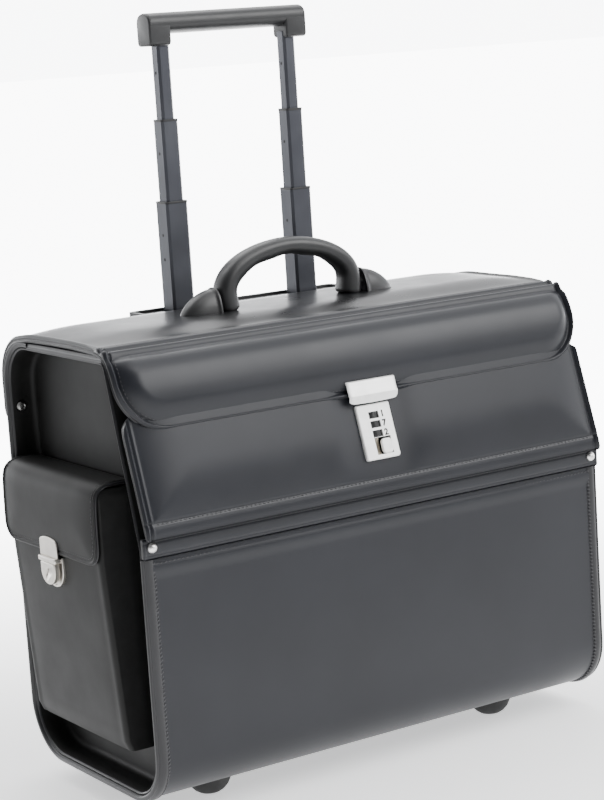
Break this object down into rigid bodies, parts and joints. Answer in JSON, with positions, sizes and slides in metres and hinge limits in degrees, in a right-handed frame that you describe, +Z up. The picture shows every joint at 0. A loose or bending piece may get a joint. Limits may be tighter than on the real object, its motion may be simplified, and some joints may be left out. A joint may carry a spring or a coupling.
{
  "type": "pilot rolling flight case",
  "caption": "Black leather pilot case with a sloping front, flap lid, combination lock, end pockets, carry handle, telescopic trolley, wheels and feet.",
  "frame": {"origin": "centre of the whole object's box in X and Y, on the floor the feet and wheels stand on", "axes": "+X along the case to the right seen from the front, +Y from the front to the back, +Z up along the trolley"},
  "size_m": [0.522, 0.2408, 0.669],
  "materials": {
    "leather": "smooth grained black leather, semi gloss",
    "piping": "rolled black leather edging",
    "board": "black covered board",
    "lining": "dark grey woven lining",
    "tube": "black anodised, satin",
    "plastic": "moulded black plastic, satin",
    "nickel": "satin nickel plate",
    "rubber": "black rubber",
    "steel": "bare steel"
  },
  "bodies": {
    "case": {"body_wrap": "leather", "end_tray_left": "leather", "end_tray_right": "leather", "rim_piping_left": "piping", "rim_piping_right": "piping", "hinge_strip": "leather", "front_rivet_left": "nickel", "front_rivet_right": "nickel", "rear_rivet_left": "nickel", "rear_rivet_right": "nickel", "rear_top_wrap": "leather", "trolley_bezel": "plastic", "trolley_outer_tube_left": "tube", "trolley_outer_tube_right": "tube", "trolley_base_bracket": "plastic", "trolley_cover": "lining", "wheel_housing_left": "plastic", "wheel_housing_right": "plastic", "axle_left": "steel", "axle_right": "steel", "foot_front_left": "rubber", "foot_front_right": "rubber", "base_board": "board", "divider": "lining", "pocket_body_left": "leather", "pocket_body_right": "leather", "pocket_lock_left": "nickel", "pocket_lock_right": "nickel"},
    "stage1": {"stage1_tube_left": "tube", "stage1_tube_right": "tube"},
    "stage2": {"stage2_tube_left": "tube", "stage2_tube_right": "tube"},
    "stage3": {"stage3_tube_left": "tube", "stage3_tube_right": "tube", "trolley_grip": "plastic"},
    "lid": {"lid_panel": "leather", "lid_apron": "leather", "hasp": "nickel", "handle_mount_left": "plastic", "handle_mount_right": "plastic", "handle_pin_left": "steel", "handle_pin_right": "steel"},
    "handle": {"carry_handle": "plastic"},
    "front_panel": {"front_upper_panel": "leather", "lock_plate": "nickel", "dial_shaft": "steel"},
    "dial_1": {"dial_1": "nickel"},
    "dial_2": {"dial_2": "nickel"},
    "dial_3": {"dial_3": "nickel"},
    "lock_button": {"lock_button": "nickel"},
    "pocket_flap_left": {"pocket_flap_left": "leather", "flap_tongue_left": "nickel"},
    "pocket_slider_left": {"pocket_lock_slider_left": "nickel"},
    "wheel_left": {"wheel_left": "rubber"},
    "pocket_flap_right": {"pocket_flap_right": "leather", "flap_tongue_right": "nickel"},
    "pocket_slider_right": {"pocket_lock_slider_right": "nickel"},
    "wheel_right": {"wheel_right": "rubber"}
  },
  "joints": [
    {"name": "trolley_stage1_slide", "type": "slide", "parent": "case", "child": "stage1", "axis": [0, 0, 1], "range_m": [-0.094, 0.12]},
    {"name": "trolley_stage2_slide", "type": "slide", "parent": "stage1", "child": "stage2", "axis": [0, 0, 1], "range_m": [-0.071, 0.12]},
    {"name": "trolley_stage3_slide", "type": "slide", "parent": "stage2", "child": "stage3", "axis": [0, 0, 1], "range_m": [-0.063, 0.12]},
    {"name": "lid_hinge", "type": "hinge", "parent": "case", "child": "lid", "pos_m": [0, 0.0649, 0.3985], "axis": [-1, 0, 0], "range_deg": [0, 56]},
    {"name": "front_panel_hinge", "type": "hinge", "parent": "case", "child": "front_panel", "pos_m": [0, -0.1156, 0.2512], "axis": [1, 0, 0], "range_deg": [0, 44.8]},
    {"name": "carry_handle_hinge", "type": "hinge", "parent": "lid", "child": "handle", "pos_m": [0, 0.0189, 0.4145], "axis": [1, 0, 0], "range_deg": [-78, 78]},
    {"name": "dial_1_spin", "type": "hinge", "parent": "front_panel", "child": "dial_1", "pos_m": [-0.001, -0.10659, 0.30171], "axis": [0, 0.3048, 0.9524], "continuous": true},
    {"name": "dial_2_spin", "type": "hinge", "parent": "front_panel", "child": "dial_2", "pos_m": [-0.001, -0.10659, 0.30171], "axis": [0, 0.3048, 0.9524], "continuous": true},
    {"name": "dial_3_spin", "type": "hinge", "parent": "front_panel", "child": "dial_3", "pos_m": [-0.001, -0.10659, 0.30171], "axis": [0, 0.3048, 0.9524], "continuous": true},
    {"name": "lock_button_slide", "type": "slide", "parent": "front_panel", "child": "lock_button", "axis": [-1, 0, 0], "range_m": [0, 0.005], "stiffness_N_per_m": 150, "springref_m": -0.001},
    {"name": "pocket_flap_hinge_left", "type": "hinge", "parent": "case", "child": "pocket_flap_left", "pos_m": [-0.2178, 0.0199, 0.291], "axis": [0, 1, 0], "range_deg": [0, 80]},
    {"name": "pocket_lock_press_left", "type": "slide", "parent": "case", "child": "pocket_slider_left", "axis": [0, 0, -1], "range_m": [0, 0.003], "stiffness_N_per_m": 250, "springref_m": -0.002},
    {"name": "wheel_spin_left", "type": "hinge", "parent": "case", "child": "wheel_left", "pos_m": [-0.182, 0.0909, 0.025], "axis": [1, 0, 0], "continuous": true},
    {"name": "pocket_flap_hinge_right", "type": "hinge", "parent": "case", "child": "pocket_flap_right", "pos_m": [0.2178, 0.0199, 0.291], "axis": [0, -1, 0], "range_deg": [0, 80]},
    {"name": "pocket_lock_press_right", "type": "slide", "parent": "case", "child": "pocket_slider_right", "axis": [0, 0, -1], "range_m": [0, 0.003], "stiffness_N_per_m": 250, "springref_m": -0.002},
    {"name": "wheel_spin_right", "type": "hinge", "parent": "case", "child": "wheel_right", "pos_m": [0.182, 0.0909, 0.025], "axis": [1, 0, 0], "continuous": true}
  ],
  "couplings": [
    {"joint": "front_panel_hinge", "follows": "lid_hinge", "ratio": 0.8}
  ]
}
